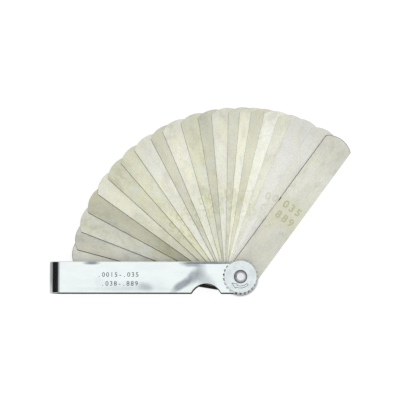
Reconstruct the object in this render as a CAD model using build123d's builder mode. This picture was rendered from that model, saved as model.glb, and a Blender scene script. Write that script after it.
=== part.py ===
from build123d import *
import os

os.makedirs("parts", exist_ok=True)

# Pocket feeler gauge, lying on its back. The pivot axis is Z, the case points along -X,
# and Z = 0 is the flat of the pivot screw's head. Millimetres and degrees throughout.

# The leaves, from the one under the front plate down to the one on the back plate:
# thickness in inches, and the angle at which the fan holds the leaf, counted from +X.
leaves = [
    (0.035, 53.75),
    (0.0015, 59.5),
    (0.002, 67.0),
    (0.003, 71.5),
    (0.004, 76.5),
    (0.005, 81.0),
    (0.006, 85.0),
    (0.007, 89.0),
    (0.008, 94.9),
    (0.009, 99.7),
    (0.010, 106.0),
    (0.011, 112.9),
    (0.012, 117.7),
    (0.013, 124.6),
    (0.014, 131.1),
    (0.015, 138.0),
    (0.016, 144.4),
    (0.018, 151.6),
    (0.020, 158.7),
    (0.025, 165.0),
    (0.030, 170.8),
]

# Leaf outline, common to all the leaves
leaf_width = 12.7
leaf_length = 77.8
tip_rise = 2.4  # how far the shallow arc of the tip stands past its corners
tip_corner = 0.6
leaf_gap = 0.03  # running gap over and under each leaf

# Case: one strip of sheet, bent into a long U and open along both sides
strip_thickness = 1.0
side_margin = 0.25  # the case stands this far past the folded leaves on each side
tip_room = 3.5  # from the leaf tips to the start of the bend
edge_break = 0.25  # chamfer all round the outer skin of the strip
notch_width = 12.2
notch_depth = 3.8
notch_corner = 0.6
notch_distance = 14.3  # pivot axis to the middle of the thumb notch

# Pivot screw
screw_diameter = 4.76
leaf_clearance = 0.06  # radial, leaf hole to screw
key_flat = 0.45  # depth of each flat on the neck held by the back plate
key_clearance = 0.03
plate_clearance = 0.12  # radial, front plate to screw
head_height = 2.0
head_back_bevel = 0.6  # bevel round the head's other rim, next to the back plate

# Finger grip, common to the screw's head and the lock nut
grip_diameter = 14.6
grip_bevel = 0.65  # how far the bevelled face stands in from the rim
grip_bevel_height = 0.9
flute_count = 24
flute_mouth = 1.25  # width of each straight-sided flute at the rim
flute_floor = 0.7  # width at its bottom
flute_depth = 0.75

# Thrust washer and lock nut
washer_diameter = 10.2
washer_thickness = 0.4
washer_clearance = 0.1  # radial, washer to screw
seat_gap = 0.02  # between faces that turn on each other
nut_thickness = 5.0
nut_base_chamfer = 0.25
nut_clearance = 0.05  # radial, nut bore to screw
well_diameter = 5.6  # recess in the nut face that takes the peened end
well_depth = 1.5
nut_travel = 0.65  # the nut rises this far before the peened end stops it
peen_clearance = 0.25  # radial, peened end to the well's wall
peen_rim = 0.15  # height of the peened end's upright rim
peen_step_diameter = 4.2  # where its shallow brim meets the cone
peen_step_height = 0.25
peen_height = 0.6
peen_flat_diameter = 2.9

# Places that follow from them
leaf_reach = leaf_length - leaf_width / 2
case_width = leaf_width + 2 * side_margin
screw_radius = screw_diameter / 2
stack_height = sum(size * IN for size, _ in leaves) + leaf_gap * (len(leaves) + 1)
back_outer = head_height
back_inner = back_outer + strip_thickness
front_inner = back_inner + stack_height
front_outer = front_inner + strip_thickness
case_height = front_outer - back_outer
bend_centre = leaf_reach + tip_room
washer_base = front_outer + seat_gap
nut_base = washer_base + washer_thickness + seat_gap
nut_top = nut_base + nut_thickness
peen_base = nut_top - well_depth + nut_travel
peen_top = peen_base + peen_height
peen_radius = well_diameter / 2 - peen_clearance
key_width = screw_diameter - 2 * key_flat
grip_radius = grip_diameter / 2

# One flute of the grip, seen from above, with its mouth at the rim on the +X side
with BuildSketch() as flute:
    Polygon(
        (0.5, flute_mouth / 2),
        (0, flute_mouth / 2),
        (-flute_depth, flute_floor / 2),
        (-flute_depth, -flute_floor / 2),
        (0, -flute_mouth / 2),
        (0.5, -flute_mouth / 2),
        align=None,
    )

# Case -----------------------------------------------------------------------------

with BuildPart() as case:
    # the bent strip, seen from its open side
    with BuildSketch(Plane.XZ):
        with Locations((-bend_centre, back_outer + case_height / 2)):
            Circle(case_height / 2)
            Circle(case_height / 2 - strip_thickness, mode=Mode.SUBTRACT)
        with Locations((-bend_centre, back_outer)):
            Rectangle(case_height, case_height, align=(Align.MIN, Align.MIN), mode=Mode.SUBTRACT)
        for plate_base in (back_outer, front_inner):
            with Locations((-bend_centre, plate_base)):
                Rectangle(
                    bend_centre + case_width / 2, strip_thickness, align=(Align.MIN, Align.MIN)
                )
    extrude(amount=case_width / 2, both=True)

    # the outline that the blank was cut to: a round pivot end and the thumb notch
    with BuildSketch(Plane.XY.offset(back_outer)) as outline:
        Circle(case_width / 2)
        Rectangle(bend_centre + case_height, case_width, align=(Align.MAX, Align.CENTER))
        with BuildLine():
            notch_left = (-notch_distance - notch_width / 2, -case_width / 2)
            notch_right = (-notch_distance + notch_width / 2, -case_width / 2)
            ThreePointArc(notch_left, (-notch_distance, -case_width / 2 + notch_depth), notch_right)
            Line(notch_right, notch_left)
        make_face(mode=Mode.SUBTRACT)
        notch_ends = outline.vertices().group_by(Axis.Y)[0].sort_by(Axis.X)[1:3]
        fillet(notch_ends, notch_corner)
    extrude(amount=case_height, mode=Mode.INTERSECT)

    # broken edges all round the outer skin, as on a tumbled and plated strip
    front_face = case.faces().sort_by(Axis.Z)[-1]
    back_face = case.faces().sort_by(Axis.Z)[0]
    bend_face = case.faces().filter_by(GeomType.CYLINDER).sort_by(Axis.X)[0]
    skin_edges = front_face.edges() + back_face.edges() + bend_face.edges()
    seams = bend_face.edges().filter_by(Axis.Y)
    chamfer(skin_edges.filter_by(lambda edge: edge not in seams), edge_break)

    # keyed hole in the back plate, round hole in the front plate
    with BuildSketch(Plane.XY.offset(back_outer)):
        Circle(screw_radius + key_clearance)
        Rectangle(2 * screw_diameter, key_width + 2 * key_clearance, mode=Mode.INTERSECT)
    extrude(amount=strip_thickness, mode=Mode.SUBTRACT)
    with BuildSketch(Plane.XY.offset(front_inner)):
        Circle(screw_radius + plate_clearance)
    extrude(amount=strip_thickness, mode=Mode.SUBTRACT)

case.part.label = "case"
export_step(case.part, "parts/case.step")

# Pivot screw ----------------------------------------------------------------------

with BuildPart() as pivot_screw:
    # head, flat underneath, with flutes round its rim to hold it by
    with BuildSketch():
        Circle(grip_radius)
    extrude(amount=head_height)
    rim = pivot_screw.edges().group_by(Axis.Z)[0]
    chamfer(rim, grip_bevel, grip_bevel_height, reference=pivot_screw.faces().sort_by(Axis.Z)[0])
    chamfer(pivot_screw.edges().group_by(Axis.Z)[-1], head_back_bevel)
    with BuildSketch():
        with PolarLocations(grip_radius, flute_count):
            add(flute.sketch)
    extrude(amount=head_height, mode=Mode.SUBTRACT)

    # neck with two flats, which the back plate keeps from turning
    with BuildSketch(Plane.XY.offset(back_outer)):
        Circle(screw_radius)
        Rectangle(2 * screw_diameter, key_width, mode=Mode.INTERSECT)
    extrude(amount=strip_thickness)

    # shank, and the coned peened end that keeps the nut on
    with BuildSketch(Plane.XZ):
        with BuildLine():
            Polyline(
                (0, back_inner),
                (screw_radius, back_inner),
                (screw_radius, peen_base),
                (peen_radius, peen_base),
                (peen_radius, peen_base + peen_rim),
                (peen_step_diameter / 2, peen_base + peen_step_height),
                (peen_flat_diameter / 2, peen_top),
                (0, peen_top),
                close=True,
            )
        make_face()
    revolve(axis=Axis.Z)

pivot_screw.part.label = "pivot_screw"
export_step(pivot_screw.part, "parts/pivot_screw.step")

# Thrust washer --------------------------------------------------------------------

with BuildPart() as thrust_washer:
    with BuildSketch(Plane.XY.offset(washer_base)):
        Circle(washer_diameter / 2)
        Circle(screw_radius + washer_clearance, mode=Mode.SUBTRACT)
    extrude(amount=washer_thickness)

thrust_washer.part.label = "thrust_washer"
export_step(thrust_washer.part, "parts/thrust_washer.step")

# Lock nut -------------------------------------------------------------------------

with BuildPart() as lock_nut:
    with BuildSketch(Plane.XY.offset(nut_base)):
        Circle(grip_radius)
    extrude(amount=nut_thickness)
    rim = lock_nut.edges().group_by(Axis.Z)[-1]
    chamfer(rim, grip_bevel, grip_bevel_height, reference=lock_nut.faces().sort_by(Axis.Z)[-1])
    chamfer(lock_nut.edges().group_by(Axis.Z)[0], nut_base_chamfer)

    # flutes round the rim, like those of the screw's head
    with BuildSketch(Plane.XY.offset(nut_base)):
        with PolarLocations(grip_radius, flute_count):
            add(flute.sketch)
    extrude(amount=nut_thickness, mode=Mode.SUBTRACT)

    # bore, and the well in which the peened end of the screw sits
    with Locations(Plane.XY.offset(nut_top)):
        CounterBoreHole(screw_radius + nut_clearance, well_diameter / 2, well_depth)

lock_nut.part.label = "lock_nut"
export_step(lock_nut.part, "parts/lock_nut.step")

# Leaves ---------------------------------------------------------------------------

# thickness written as it is etched on the leaf: 0.035 becomes 035, 0.0015 becomes 0015
leaf_top = front_inner
for size, fan_angle in leaves:
    thickness = size * IN
    leaf_top -= leaf_gap
    with BuildPart() as leaf:
        with BuildSketch(Plane.XY.offset(leaf_top - thickness).rotated((0, 0, fan_angle))) as blank:
            with BuildLine():
                shoulder = leaf_reach - tip_rise
                Line((0, -leaf_width / 2), (shoulder, -leaf_width / 2))
                ThreePointArc((shoulder, -leaf_width / 2), (leaf_reach, 0), (shoulder, leaf_width / 2))
                Line((shoulder, leaf_width / 2), (0, leaf_width / 2))
                ThreePointArc((0, leaf_width / 2), (-leaf_width / 2, 0), (0, -leaf_width / 2))
            make_face()
            fillet(blank.vertices().group_by(Axis.X)[-1], tip_corner)
            Circle(screw_radius + leaf_clearance, mode=Mode.SUBTRACT)
        extrude(amount=thickness)
    name = "leaf_" + f"{size:.4f}".removeprefix("0.").removesuffix("0")
    leaf.part.label = name
    export_step(leaf.part, f"parts/{name}.step")
    leaf_top -= thickness
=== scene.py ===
import math

import bmesh
import bpy
from mathutils import Matrix, Vector


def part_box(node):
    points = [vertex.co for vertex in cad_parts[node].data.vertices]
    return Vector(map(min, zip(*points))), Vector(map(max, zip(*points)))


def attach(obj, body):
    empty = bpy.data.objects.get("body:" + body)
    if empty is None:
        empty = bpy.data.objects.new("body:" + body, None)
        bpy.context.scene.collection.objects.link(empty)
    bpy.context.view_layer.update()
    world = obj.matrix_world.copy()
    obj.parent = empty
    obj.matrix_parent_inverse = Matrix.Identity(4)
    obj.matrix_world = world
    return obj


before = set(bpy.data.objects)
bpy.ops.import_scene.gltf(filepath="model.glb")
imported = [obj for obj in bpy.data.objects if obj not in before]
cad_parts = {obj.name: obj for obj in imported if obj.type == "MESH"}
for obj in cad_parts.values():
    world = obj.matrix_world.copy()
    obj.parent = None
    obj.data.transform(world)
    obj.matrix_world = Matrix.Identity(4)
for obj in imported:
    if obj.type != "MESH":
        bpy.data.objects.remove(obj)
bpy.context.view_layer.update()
mm = 0.001
print("frame loaded:", len(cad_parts), "nodes")


# shader sockets as Python values

class Wire:
    def __init__(self, tree, socket=None):
        self.tree = tree
        self.socket = socket

    def node(self, kind, settings=None, sockets=None, out=0):
        made = self.tree.nodes.new("ShaderNode" + kind)
        for name, value in (settings or {}).items():
            setattr(made, name, value)
        for name, value in (sockets or {}).items():
            if isinstance(value, Wire):
                self.tree.links.new(value.socket, made.inputs[name])
            elif hasattr(value, "__len__") and len(made.inputs[name].default_value) == 4:
                made.inputs[name].default_value = (*value, 1.0)
            else:
                made.inputs[name].default_value = value
        return Wire(self.tree, made.outputs[out] if made.outputs else None)

    def maths(self, operation, *values):
        return self.node("Math", {"operation": operation}, dict(enumerate(values)))

    def __add__(self, other):
        return self.maths("ADD", self, other)

    def __sub__(self, other):
        return self.maths("SUBTRACT", self, other)

    def __rsub__(self, other):
        return self.maths("SUBTRACT", other, self)

    def __mul__(self, other):
        return self.maths("MULTIPLY", self, other)

    def __truediv__(self, other):
        return self.maths("DIVIDE", self, other)

    def __abs__(self):
        return self.maths("ABSOLUTE", self)

    __radd__ = __add__
    __rmul__ = __mul__

    def larger(self, other):
        return self.maths("MAXIMUM", self, other)

    def rise(self, low, high):
        # 0 below low, 1 above high, smooth between; low may be the larger
        return self.node("MapRange", {"interpolation_type": "SMOOTHSTEP"},
                         {"Value": self, "From Min": low, "From Max": high})

    def axis(self, index):
        return self.node("SeparateXYZ", None, {0: self}, index)

    def noise(self, coords, scale, detail, rough=0.5):
        return self.node("TexNoise", None, {
            "Vector": coords, "Scale": scale, "Detail": detail, "Roughness": rough})

    def blend(self, factor, first, second, kind="MIX"):
        made = self.node("Mix", {"data_type": "RGBA", "blend_type": kind}, {0: factor}, 2)
        mix = made.socket.node
        for index, value in ((6, first), (7, second)):
            if isinstance(value, Wire):
                self.tree.links.new(value.socket, mix.inputs[index])
            else:
                mix.inputs[index].default_value = (*value, 1.0)
        return made


def newMaterial(name):
    material = bpy.data.materials.new(name)
    material.use_nodes = True
    material.node_tree.nodes.clear()
    return material, Wire(material.node_tree)


def millimetres(net, turn=0.0, shift=0.0, grain=(1, 1, 1)):
    # object coordinates turned about the pivot axis, in units of the grain, which is in millimetres
    place = net.node("TexCoord", out="Object")
    return net.node("Mapping", {"vector_type": "TEXTURE"}, {
        "Vector": place, "Rotation": (0, 0, turn),
        "Location": (0, 0, shift * mm), "Scale": [size * mm for size in grain]})


def flatDistance(net, place, centre=(0, 0, 0)):
    # distance seen from above
    flat = net.node("VectorMath", {"operation": "MULTIPLY"}, {0: place, 1: (1, 1, 0)})
    return net.node("VectorMath", {"operation": "DISTANCE"}, {0: flat, 1: centre}, "Value")


def finishMetal(net, colour, roughness, height, relief):
    bump = net.node("Bump", None, {"Strength": 1.0, "Distance": relief * mm, "Height": height})
    shader = net.node("BsdfPrincipled", None, {
        "Base Color": colour, "Metallic": 1.0, "Roughness": roughness, "Normal": bump})
    net.node("OutputMaterial", None, {"Surface": shader})


def put(piece, material):
    piece.data.materials.clear()
    piece.data.materials.append(material)


# camera

cameraSettings = {
    "target": (-16.95, 32.58, 6.8),
    "distance": 900.0,
    "tiltX": 5.0,
    "tiltY": -1.1,
    "lens": 193.6,
}


def makeCamera(s):
    a, b = math.radians(s["tiltX"]), math.radians(s["tiltY"])
    right = Vector((math.cos(b), -math.sin(a) * math.sin(b), math.cos(a) * math.sin(b)))
    up = Vector((0, math.cos(a), math.sin(a)))
    back = right.cross(up)
    data = bpy.data.cameras.new("camera")
    data.lens = s["lens"]
    data.clip_start = 0.01
    camera = bpy.data.objects.new("camera", data)
    bpy.context.scene.collection.objects.link(camera)
    camera.location = (Vector(s["target"]) + back * s["distance"]) * mm
    camera.rotation_euler = Matrix((right, up, back)).transposed().to_euler()
    bpy.context.scene.camera = camera


makeCamera(cameraSettings)
print("camera placed")


# studio: one soft panel overhead in a pale room, a dark doorway on the left, a dark skirting in front

studioSettings = {
    # slopes from straight up at which the panel fades out and is full, on each of its sides
    "panelLeft": (-1.15, -0.22),
    "panelRight": (3.0, 1.0),
    "panelBack": (1.5, 0.5),
    "panelFront": (-1.2, -0.3),
    "panelLevel": 1.15,
    "roomLevel": 0.60,
    # slopes at the doorway's two jambs, counted from straight left, and at its top, from straight up
    "doorNear": (-0.05, 0.01),
    "doorFar": (0.55, 0.30),
    "doorTop": (-0.075, -0.60),
    "doorDark": 0.975,
    # slopes at the top of the skirting and at its two ends, counted from straight to the front
    "skirtHeight": (0.30, 0.12),
    "skirtWidth": (2.5, 1.5),
    "skirtDark": 0.95,
    "floorColour": (0.40, 0.40, 0.40),
    "floorGlow": 0.78,
    # how bright polished metal sees the floor, and where on the left that ends, in metres
    "sheetShine": 0.42,
    "sheetLeft": (-0.053, -0.120),
    # how near to the floor something must be to deepen its shadow, and how open a place is left pale
    "contactReach": 0.0014,
    "contactClear": (0.35, 0.95),
    "floorSize": 6.0,
    "floorDrop": 0.01,
}


def makeStudio(s):
    scene = bpy.context.scene
    world = bpy.data.worlds.new("studio")
    scene.world = world
    world.use_nodes = True
    world.node_tree.nodes.clear()
    net = Wire(world.node_tree)
    ray = net.node("TexCoord", out="Generated")
    height = ray.axis(2).larger(0.001)
    across = ray.axis(0) / height
    along = ray.axis(1) / height
    panel = across.rise(*s["panelLeft"]) * across.rise(*s["panelRight"])
    panel = panel * along.rise(*s["panelBack"]) * along.rise(*s["panelFront"])
    level = s["roomLevel"] + (s["panelLevel"] - s["roomLevel"]) * panel
    # the doorway on the left, and a dark skirting low in front
    left = (0.0 - ray.axis(0)).larger(0.001)
    front = (0.0 - ray.axis(1)).larger(0.001)
    aside = ray.axis(1) / left
    door = aside.rise(*s["doorNear"]) * aside.rise(*s["doorFar"]) * across.rise(*s["doorTop"])
    skirt = (abs(ray.axis(0)) / front).rise(*s["skirtWidth"])
    skirt = skirt * (ray.axis(2) / front).rise(*s["skirtHeight"])
    level = level * (1.0 - s["doorDark"] * door) * (1.0 - s["skirtDark"] * skirt)
    # the camera itself sees plain white
    seen = net.node("LightPath", out="Is Camera Ray")
    level = level + (1.0 - level) * seen
    shade = net.node("Background", None, {"Color": (1, 1, 1), "Strength": level})
    net.node("OutputWorld", None, {"Surface": shade})

    half = s["floorSize"] / 2
    built = bmesh.new()
    bmesh.ops.create_grid(built, x_segments=1, y_segments=1, size=half)
    bmesh.ops.translate(built, verts=built.verts, vec=(0, 0, -s["floorDrop"] * mm))
    mesh = bpy.data.meshes.new("floor")
    built.to_mesh(mesh)
    built.free()
    floor = bpy.data.objects.new("floor", mesh)
    scene.collection.objects.link(floor)
    # a white sheet under the tool, which ends on the left for what polished metal sees of it
    material, net = newMaterial("paleFloor")
    camera = net.node("LightPath", out="Is Camera Ray")
    glossy = net.node("LightPath", out="Is Glossy Ray")
    through = net.node("LightPath", out="Is Transmission Ray")
    ground = net.node("TexCoord", out="Object")
    aside = ground.axis(1) / abs(ground.axis(0))
    beyond = ground.axis(0).rise(*s["sheetLeft"]) * aside.rise(*s["doorNear"]) * aside.rise(*s["doorFar"])
    # the shadow gathers where something stands on the floor
    clear = net.node("AmbientOcclusion", {"samples": 8}, {"Distance": s["contactReach"]}, "AO")
    shown = camera.larger(through) * s["floorGlow"] * clear.rise(*s["contactClear"])
    shown = shown + glossy * (1.0 - beyond) * s["sheetShine"]
    glow = net.node("Emission", None, {"Color": (1, 1, 1), "Strength": shown})
    matt = net.node("BsdfDiffuse", None, {"Color": s["floorColour"]})
    both = net.node("AddShader", None, {0: glow, 1: matt})
    net.node("OutputMaterial", None, {"Surface": both})
    put(floor, material)
    scene.view_settings.view_transform = "Standard"


makeStudio(studioSettings)
print("studio lit")


# leaves: satin spring steel, each with its own tone of grey or straw

leafSettings = {
    # node suffix: fan angle, thickness in mm, grey level, levels of blue that the straw takes away,
    # darkening towards the heel
    "035": (53.75, 0.889, 216, 12, 0),
    "0015": (59.5, 0.038, 221, 9, 0),
    "002": (67.0, 0.051, 225, 7, 0),
    "003": (71.5, 0.076, 224, 15, 0),
    "004": (76.5, 0.102, 236, 12, 0),
    "005": (81.0, 0.127, 214, 20, 0),
    "006": (85.0, 0.152, 231, 18, 0),
    "007": (89.0, 0.178, 214, 16, 0),
    "008": (94.9, 0.203, 224, 14, 0),
    "009": (99.7, 0.229, 205, 17, 0),
    "010": (106.0, 0.254, 217, 23, 0),
    "011": (112.9, 0.279, 230, 15, 0),
    "012": (117.7, 0.305, 208, 18, 0),
    "013": (124.6, 0.330, 226, 14, 0),
    "014": (131.1, 0.356, 219, 23, 0),
    "015": (138.0, 0.381, 211, 22, 0.05),
    "016": (144.4, 0.406, 219, 18, 0.2),
    "018": (151.6, 0.457, 188, 19, 0.3),
    "020": (158.7, 0.508, 206, 14, 0.24),
    "025": (165.0, 0.635, 197, 12, 0.16),
    "030": (170.8, 0.762, 207, 12, 0.1),
}

leafFinish = {
    "rough": 0.36,
    "grindRough": 0.10,
    "cloudRough": 0.08,
    "relief": 0.004,
    "rollShare": 0.36,  # rolled edge, as a part of the leaf's thickness
    "halfWidth": 6.35,
    # painted shadow along a thick leaf's left edge, where it stands over the next leaf: what part of the
    # thickness it takes, its greatest width, its depth and colour
    "edgeShadowShare": 0.5,
    "edgeShadowWidth": 0.28,
    "edgeShadowDepth": 0.95,
    "rimColour": (0.03, 0.03, 0.03),
    # seed, size along and across in mm, where the noise counts, strength, shift of red, green and blue
    # in levels, and how much of the straw it takes away
    "blotches": {
        "broad": (1, (16, 7.0), (0.40, 0.62), 1.0, (8, 8, 7, 0)),
        "cool": (4, (12, 6.0), (0.52, 0.64), 0.6, (2, 6, 5, 0.7)),
        "warm": (3, (10, 5.5), (0.54, 0.66), 0.6, (9, 6, -5, 0)),
        "cloud": (2, (7, 4.5), (0.50, 0.68), 0.6, (-14, -14, -15, 0)),
    },
    # stains round the etched numbers, in the same way
    "stains": {
        "tan": (6, (2.6, 2.2), (0.52, 0.64), 0.55, (-12, -16, -34, 0)),
        "moss": (7, (3.0, 2.0), (0.54, 0.66), 0.6, (-22, -16, -32, 0)),
    },
    # cleaner leaves, and how far the fine grain goes up and down from the leaf's tone
    "mottle": {"035": 0.8, "0015": 0.5, "002": 0.6},
    "grain": 0.05,
    "seedStep": 41.0,  # mm from one pattern to the next
    # reaches are distances from the pivot in mm, from where a thing begins to where it is full
    "etchedStart": (20, 27),
    "etchedEnd": (42, 36),
    "heelReach": (52, 20),
    "heelColour": (0.05, 0.045, 0.03),
    "thinLeaf": 0.4,
    "tipReach": (54, 72),
    "tipShade": 0.13,
    "darkerTone": (0.10, 0.10, 0.09),
    # painted shadow on the lowest leaf's heel, for the dark inside of the case under the notch, and how
    # ragged its border is in mm
    "notchShadowReach": (33, 20),
    "notchShadowRagged": 5.0,
    "notchShadow": 0.96,
    "notchShadowColour": (0.014, 0.013, 0.012),
}

topLeafMarks = {
    "heelEnd": (46, 16),
    "heelShade": 0.11,
    "tipEnd": (50, 68),
    "tipShade": 0.13,
    "haloStart": (24, 30),
    "haloEnd": (41, 36),
    "halo": 0.6,
    "haloShift": (-3, -4, -15),
    "nickStart": (34.6, 35.8),
    "nickEnd": (37.6, 36.6),
    "nickAcross": (5.7, 6.1),
    "nick": 0.85,
    # centre and radius of the tip's arc, and how far inside it the dark line lies
    "tipArc": (61.85, 9.60),
    "lineInside": (0.32, 0.12),
    "lineReach": (66, 69),
    "line": 0.75,
}


def linear(level):
    # display level, 0 to 255, as the value that a colour socket takes
    level = level / 255
    return level / 12.92 if level <= 0.04045 else ((level + 0.055) / 1.055) ** 2.4


def markTopLeaf(net, colour, along, halo, s):
    # greyer at both ends, yellower round the numbers, with a nick and a dark line along the tip
    reach = along.axis(0)
    ends = reach.rise(*s["heelEnd"]) * s["heelShade"] + reach.rise(*s["tipEnd"]) * s["tipShade"]
    colour = net.blend(ends, colour, leafFinish["darkerTone"])
    band = reach.rise(*s["haloStart"]) * reach.rise(*s["haloEnd"])
    colour = net.blend(band * s["halo"], colour, halo)
    nick = reach.rise(*s["nickStart"]) * reach.rise(*s["nickEnd"]) * along.axis(1).rise(*s["nickAcross"])
    colour = net.blend(nick * s["nick"], colour, leafFinish["rimColour"])
    centre, radius = s["tipArc"]
    outside, channelShade = [radius - depth for depth in s["lineInside"]]
    arc = flatDistance(net, along, (centre, 0, 0)).rise(outside, channelShade) * reach.rise(*s["lineReach"])
    return net.blend(arc * s["line"], colour, leafFinish["rimColour"])


def leafMaterial(suffix, seed, s):
    angle, thickness, grey, straw, heel = leafSettings[suffix]
    material, net = newMaterial("leafSteel_" + suffix)
    turn = math.radians(angle)

    def patches(number, size, detail=3.0):
        # noise stretched along this leaf, different on every leaf
        shift = (seed * 7 + number) * s["seedStep"]
        return net.noise(millimetres(net, turn, shift, (*size, 10)), 1.0, detail, 0.6)

    def tint(red, green, blue, bleach=0):
        return [linear(grey + red), linear(grey + green), linear(grey - straw * (1 - bleach) + blue)]

    def spread(colour, rows, where):
        noises = {}
        for name, (number, size, counts, strength, shift) in rows.items():
            noises[name] = patches(number, size)
            share = noises[name].rise(*counts) * strength * where
            colour = net.blend(share, colour, tint(*shift))
        return colour, noises

    mottle = s["mottle"].get(suffix, 1.0)
    colour, noises = spread(tint(0, 0, 0), s["blotches"], mottle)
    cloud = noises["cloud"]
    grind = patches(5, (5, 0.09), 2.0)
    along = millimetres(net, turn)
    reach = along.axis(0)
    # darker towards the heel, and a shade darker at the tip
    if heel:
        colour = net.blend(reach.rise(*s["heelReach"]) * heel, colour, s["heelColour"])
    if thickness < s["thinLeaf"]:
        colour = net.blend(reach.rise(*s["tipReach"]) * s["tipShade"], colour, s["darkerTone"])
    if suffix == "030":
        # the lowest leaf's heel is painted black as the shadow inside the case
        ragged = reach + s["notchShadowRagged"] * (cloud - 0.5)
        colour = net.blend(ragged.rise(*s["notchShadowReach"]) * s["notchShadow"], colour, s["notchShadowColour"])
    etched = reach.rise(*s["etchedStart"]) * reach.rise(*s["etchedEnd"]) * mottle
    colour, _ = spread(colour, s["stains"], etched)
    fine = patches(8, (0.9, 0.45), 2.0)
    low, high = 1.0 - s["grain"], 1.0 + s["grain"]
    colour = net.blend(1.0, colour, net.blend(fine.rise(0.35, 0.65), [low] * 3, [high] * 3), "MULTIPLY")
    # painted shadow along the left edge of a thick leaf, where it stands over the next leaf
    wide = min(thickness * s["edgeShadowShare"], s["edgeShadowWidth"])
    edgeShadow = along.axis(1).rise(s["halfWidth"] - wide, s["halfWidth"] - wide / 2)
    colour = net.blend(edgeShadow * s["edgeShadowDepth"], colour, s["rimColour"])
    if suffix == "035":
        colour = markTopLeaf(net, colour, along, tint(*topLeafMarks["haloShift"]), topLeafMarks)
    rough = s["rough"] + s["grindRough"] * grind + s["cloudRough"] * cloud
    finishMetal(net, colour, rough, grind, s["relief"])
    return material


def rollEdges(node, width):
    # sheared and tumbled edges: the loose triangles are joined, then the rims are rounded
    weld = node.modifiers.new("joinTriangles", "WELD")
    weld.merge_threshold = 0.0005 * mm
    plane = node.modifiers.new("mergeFlats", "DECIMATE")
    plane.decimate_type = "DISSOLVE"
    plane.angle_limit = math.radians(0.5)
    edge = node.modifiers.new("rollEdges", "BEVEL")
    edge.width = width * mm
    edge.segments = 2
    edge.limit_method = "ANGLE"
    edge.angle_limit = math.radians(50)


def dressLeaves():
    for seed, (suffix, (_, thickness, *_)) in enumerate(leafSettings.items()):
        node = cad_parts["leaf_" + suffix]
        rollEdges(node, thickness * leafFinish["rollShare"])
        put(node, leafMaterial(suffix, seed + 1, leafFinish))


dressLeaves()
print("leaves dressed")


# case: bright plated strip with a few dull places and painted dark reflections

caseSettings = {
    # x, y, half length, half width, turn, depth of each dull place or painted dark reflection, and what
    # part of it fades
    "dullAndReflectionPlaces": [
        (-24.2, -3.0, 5.6, 1.9, 34, 0.72, 0.55),
        (-19.6, 0.2, 4.6, 2.5, 50, 0.58, 0.60),
        (-16.6, 3.0, 4.6, 2.8, 88, 0.34, 0.80),
        (-14.6, -1.6, 5.5, 3.2, -35, 0.36, 0.75),
        (-12.5, 5.92, 13.0, 0.50, 0, 0.90, 0.35),
        (-20.5, 5.3, 4.6, 1.2, -4, 0.62, 0.70),
        (-39.5, -3.9, 3.6, 1.9, -12, 0.40, 0.85),
        (-61.8, 5.9, 3.6, 0.8, 0, 0.85, 0.75),
        (-59.0, -1.6, 2.0, 2.2, 0, 0.08, 0.90),
        (-50.0, -4.8, 24.0, 0.9, 0, 0.12, 0.90),
        (-44.5, -4.2, 17.0, 2.8, 0, 0.15, 0.95),
    ],
    # how many of the first places end at the crease, a painted reflection's edge where the plate bends,
    # and two points of its line
    "creased": 4,
    "crease": ((-14.6, 6.4), (-10.3, -2.0)),
    "wander": 0.5,
    "plating": (0.76, 0.81, 0.812),
    # faint clouds in the plating
    "cloudSize": (8, 3, 3),
    "cloudDepth": 0.35,
    "cloudTone": 0.9,
    "dullAndReflection": (0.14, 0.17, 0.20),
    "channelShade": (0.22, 0.22, 0.22),
    "innerHeights": (3.0, 10.378),
    "innerEnd": (-75.2, -74.9),
    "rough": 0.05,
    "scratchSize": (3.0, 0.2, 1),
    "scratchTurn": 20,
    "scratchRough": 0.06,
    "relief": 0.05,
}


def caseMaterial(s):
    material, net = newMaterial("brightPlate")
    place = millimetres(net)
    cloud = net.noise(millimetres(net, 0, 0, s["cloudSize"]), 1.0, 3.0)
    clouded = [part * s["cloudTone"] for part in s["plating"]]
    colour = net.blend(cloud.rise(0.4, 0.7) * s["cloudDepth"], s["plating"], clouded)
    (startX, startY), (endX, endY) = s["crease"]
    slope = (endX - startX) / (endY - startY)
    beside = place.axis(0) - (place.axis(1) - startY) * slope - startX
    wander = s["wander"] * (net.noise(place, 0.35, 2.0) - 0.5)
    # dull places and painted dark reflections in the plating
    for index, (x, y, halfLength, halfWidth, turn, depth, soft) in enumerate(s["dullAndReflectionPlaces"]):
        local = net.node("Mapping", {"vector_type": "TEXTURE"}, {
            "Vector": place, "Location": (x, y, 0), "Rotation": (0, 0, math.radians(turn)),
            "Scale": (halfLength, halfWidth, 1000)})
        far = net.node("VectorMath", {"operation": "LENGTH"}, {0: local}, "Value") + wander
        dullAndReflection = far.rise(1.0 + soft * 0.4, 1.0 - soft) * depth
        if index < s["creased"]:
            dullAndReflection = dullAndReflection * beside.rise(0.5, -0.8)
        colour = net.blend(dullAndReflection, colour, s["dullAndReflection"])
    # painted shade on the faces inside the channel
    low, high = s["innerHeights"]
    inner = place.axis(2).rise(low - 0.02, low - 0.01) * place.axis(2).rise(high + 0.02, high + 0.01)
    colour = net.blend(inner * place.axis(0).rise(*s["innerEnd"]), colour, s["channelShade"])
    brushed = millimetres(net, math.radians(s["scratchTurn"]), 0, s["scratchSize"])
    scratches = net.noise(brushed, 1.0, 3.0, 0.7)
    waves = net.noise(place, 0.12, 2.0)
    rough = s["rough"] + s["scratchRough"] * scratches
    finishMetal(net, colour, rough, waves + scratches * 0.01, s["relief"])
    return material


put(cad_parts["case"], caseMaterial(caseSettings))
print("case dressed")


# nut, washer and screw: turned and plated

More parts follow.
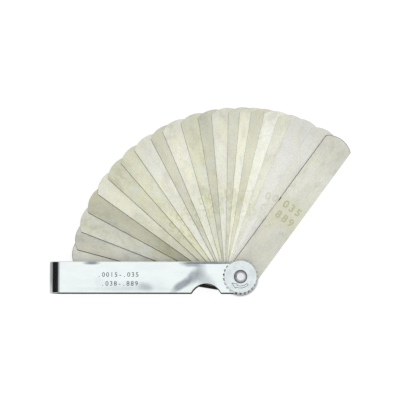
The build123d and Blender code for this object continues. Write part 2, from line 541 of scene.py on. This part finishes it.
turnedSettings = {
    # rings: how close the turning marks lie; grime and painted shade: radius and height at which the part
    # is darkened, in mm
    "lock_nut": {"colour": (0.69, 0.74, 0.745), "rough": 0.18, "rings": 9.0,
                 "grimeAndShadeRadius": (2.87, 2.80), "grimeAndShadeHeight": (16.80, 16.70), "grimeAndShadeDepth": 0.7},
    "pivot_screw": {"colour": (0.80, 0.81, 0.82), "rough": 0.30, "rings": 7.0,
                    "grimeAndShadeRadius": (1.85, 2.25), "grimeAndShadeHeight": (15.0, 15.2), "grimeAndShadeDepth": 0.62},
    "thrust_washer": {"colour": (0.55, 0.55, 0.54), "rough": 0.35, "rings": 8.0,
                      "grimeAndShadeRadius": (2.0, 3.0), "grimeAndShadeHeight": (0.0, 1.0), "grimeAndShadeDepth": 0.3},
}

turnedFinish = {
    "smearTone": 0.82,
    "smearDepth": 0.6,
    "smearRough": 0.10,
    "grimeAndShadeRough": 0.3,
    "grimeAndShadeColour": (0.10, 0.10, 0.11),
    "ringHeight": 0.3,
    "smearHeight": 0.1,
    "relief": 0.004,
}

# grime and painted shade in the flutes and bores
fluteGrimeAndShade = {
    # upright: how far up a face may look, between not at all a flute and wholly one
    "upright": (0.4, 0.1),
    "radius": (7.26, 7.16),
    "depth": 0.75,
    "colour": (0.05, 0.05, 0.055),
}


# a curved arrow engraved in the nut's face, which shows the way to turn it

arrowSettings = {
    # radii and the height of the face in mm, and angles in degrees from +X
    "body": (3.85, 4.70),
    "ends": (308, 247),
    "barbs": (3.35, 5.25),
    "tip": (4.45, 216),
    "line": 0.12,
    "face": (16.7, 16.8),
    "cut": 6.0,
    "depth": 0.88,
    "colour": (0.10, 0.13, 0.15),
}


def arrowMask(net, place, radius, s):
    def at(reach, angle):
        angle = math.radians(angle)
        return Vector((reach * math.cos(angle), reach * math.sin(angle)))

    def near(distance):
        return abs(distance).rise(s["line"] * 1.4, s["line"] * 0.6)

    inner, outer = s["body"]
    tail, neck = s["ends"]
    middle = math.radians((tail + neck) / 2)
    turned = net.node("Mapping", {"vector_type": "TEXTURE"}, {"Vector": place, "Rotation": (0, 0, middle)})
    angle = net.maths("ARCTAN2", turned.axis(1), turned.axis(0))
    half = math.radians((tail - neck) / 2)
    body = near(radius - inner).larger(near(radius - outer))
    mask = body * abs(angle).rise(half + 0.005, half)
    # the rounded tail
    cap = at((inner + outer) / 2, tail)
    away = net.node("Mapping", {"vector_type": "TEXTURE"}, {"Vector": place, "Location": (*cap, 0)})
    away = flatDistance(net, away)
    rounded = near(away - (outer - inner) / 2) * angle.rise(half - 0.005, half)
    mask = mask.larger(rounded)
    # the four strokes of the head
    low, high = s["barbs"]
    corners = [at(inner, neck), at(low, neck), at(*s["tip"]), at(high, neck), at(outer, neck)]
    for start, end in zip(corners, corners[1:]):
        span = end - start
        local = net.node("Mapping", {"vector_type": "TEXTURE"}, {
            "Vector": place, "Location": (*((start + end) / 2), 0),
            "Rotation": (0, 0, math.atan2(span.y, span.x))})
        stroke = near(local.axis(1)) * abs(local.axis(0)).rise(span.length / 2 + 0.08, span.length / 2)
        mask = mask.larger(stroke)
    return mask


def turnedMaterial(name, s):
    material, net = newMaterial("turned_" + name)
    place = millimetres(net)
    radius = flatDistance(net, place)
    rings = net.maths("SINE", radius * s["rings"])
    smear = net.noise(place, 0.5, 3.0, 0.6)
    dark = [part * turnedFinish["smearTone"] for part in s["colour"]]
    colour = net.blend(smear.rise(0.4, 0.7) * turnedFinish["smearDepth"], s["colour"], dark)
    # grime and painted shade in the nut's well and round the screw's end
    grimeAndShade = radius.rise(*s["grimeAndShadeRadius"]) * place.axis(2).rise(*s["grimeAndShadeHeight"]) * s["grimeAndShadeDepth"]
    colour = net.blend(grimeAndShade, colour, turnedFinish["grimeAndShadeColour"])
    # upright faces inside the rim are the flutes and the bores, darkened with grime and painted shade
    upright = abs(net.node("NewGeometry", out="True Normal").axis(2)).rise(*fluteGrimeAndShade["upright"])
    hidden = upright * radius.rise(*fluteGrimeAndShade["radius"]) * fluteGrimeAndShade["depth"]
    colour = net.blend(hidden, colour, fluteGrimeAndShade["colour"])
    rough = s["rough"] + turnedFinish["smearRough"] * smear + turnedFinish["grimeAndShadeRough"] * grimeAndShade
    height = rings * turnedFinish["ringHeight"] + smear * turnedFinish["smearHeight"]
    if name == "lock_nut":
        cut = arrowMask(net, place, radius, arrowSettings) * place.axis(2).rise(*arrowSettings["face"])
        colour = net.blend(cut * arrowSettings["depth"], colour, arrowSettings["colour"])
        height = height - cut * arrowSettings["cut"]
    finishMetal(net, colour, rough, height, turnedFinish["relief"])
    return material


for name, s in turnedSettings.items():
    put(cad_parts[name], turnedMaterial(name, s))
print("turned parts dressed")


# numbers: the gauge sizes etched on every leaf, in inches and in millimetres

numberSettings = {
    "inchReach": 35.7,
    "metricReach": 30.5,
    "aside": -0.35,
    "height": 3.1,
    "pitch": 3.1,
    "stroke": 0.13,  # how much the type is fattened
    "proud": 0.012,
    "rough": (0.40, 0.1),
    "relief": 0.003,
    # levels below the leaf's own, on the top leaf and on the others
    "fresh": (31, 31, 50),
    "worn": (16, 15, 26),
}

figureShare = 0.70  # what part of the type size a figure is high


def strokeText(figures, height, pitch, stroke, depth=0.02):
    # single figures on an even pitch, so that the lines stand under each other, as thin closed plates
    built = bmesh.new()
    for index, sign in enumerate(figures):
        curve = bpy.data.curves.new("sign", "FONT")
        curve.body = sign
        curve.align_x = "CENTER"
        curve.align_y = "CENTER"
        curve.size = height / figureShare
        curve.offset = stroke
        curve.resolution_u = 4
        holder = bpy.data.objects.new("sign", curve)
        mesh = bpy.data.meshes.new_from_object(holder)
        mesh.transform(Matrix.Translation(((index - (len(figures) - 1) / 2) * pitch, 0, 0)))
        built.from_mesh(mesh)
        bpy.data.objects.remove(holder)
        bpy.data.curves.remove(curve)
        bpy.data.meshes.remove(mesh)
    bmesh.ops.remove_doubles(built, verts=built.verts, dist=0.0001)
    bmesh.ops.recalc_face_normals(built, faces=built.faces)
    bmesh.ops.solidify(built, geom=built.faces[:], thickness=depth)
    for face in built.faces:
        face.smooth = False
    return built


def layLine(built, line, place):
    # puts one line of figures at its place and adds it to the others
    line.transform(place)
    mesh = bpy.data.meshes.new("line")
    line.to_mesh(mesh)
    line.free()
    built.from_mesh(mesh)
    bpy.data.meshes.remove(mesh)


def figuresPiece(name, built, turn, material):
    built.transform(Matrix.Scale(mm, 4) @ turn)
    mesh = bpy.data.meshes.new(name)
    built.to_mesh(mesh)
    built.free()
    piece = bpy.data.objects.new(name, mesh)
    bpy.context.scene.collection.objects.link(piece)
    put(piece, material)
    return piece


def numberMaterial(s, suffix, grey, straw):
    material, net = newMaterial("etched_" + suffix)
    place = millimetres(net)
    patchy = net.noise(place, 1.2, 3.0, 0.6)
    red, green, blue = s["fresh" if suffix == "035" else "worn"]
    tone = [linear(grey - red), linear(grey - green), linear(grey - straw - blue)]
    colour = net.blend(patchy.rise(0.40, 0.70) * 0.6, tone, [part * 1.25 for part in tone])
    rough, patchyRough = s["rough"]
    finishMetal(net, colour, rough + patchyRough * patchy, patchy, s["relief"])
    return material


def makeNumbers(s):
    for suffix, (angle, thickness, grey, straw, _) in leafSettings.items():
        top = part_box("leaf_" + suffix)[1][2] / mm
        turn = Matrix.Rotation(math.radians(angle), 4, "Z")
        built = bmesh.new()
        metric = f"{thickness:.3f}".removeprefix("0.")
        for figures, reach in ((suffix, s["inchReach"]), (metric, s["metricReach"])):
            line = strokeText(figures, s["height"], s["pitch"], s["stroke"])
            place = Matrix.Translation((reach, s["aside"], top + s["proud"]))
            layLine(built, line, place @ Matrix.Rotation(-math.pi / 2, 4, "Z"))
        piece = figuresPiece("numbers_" + suffix, built, turn, numberMaterial(s, suffix, grey, straw))
        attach(piece, "leaf_" + suffix)


makeNumbers(numberSettings)
print("numbers etched")


# case: the range of the set stamped on the front plate, in inches and in millimetres

rangeSettings = {
    "lines": ((".0015-.035", (-50.8, 1.0)), (".038-.889", (-50.2, -2.7))),
    "height": 1.9,
    "pitch": 1.75,
    "stroke": 0.03,
    "proud": 0.012,
    "rough": (0.40, 0.2),
    "relief": 0.003,
    "tone": (0.10, 0.11, 0.12),
}


def makeRange(s):
    built = bmesh.new()
    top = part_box("case")[1][2] / mm
    for figures, (x, y) in s["lines"]:
        line = strokeText(figures, s["height"], s["pitch"], s["stroke"])
        layLine(built, line, Matrix.Translation((x, y, top + s["proud"])))
    material, net = newMaterial("stampedNumbers")
    worn = net.noise(millimetres(net), 1.0, 3.0, 0.6)
    colour = net.blend(worn.rise(0.35, 0.65), s["tone"], [part * 2.4 for part in s["tone"]])
    rough, wornRough = s["rough"]
    finishMetal(net, colour, rough + wornRough * worn, worn, s["relief"])
    piece = figuresPiece("range_numbers", built, Matrix.Identity(4), material)
    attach(piece, "case_and_screw")


makeRange(rangeSettings)
print("range stamped")
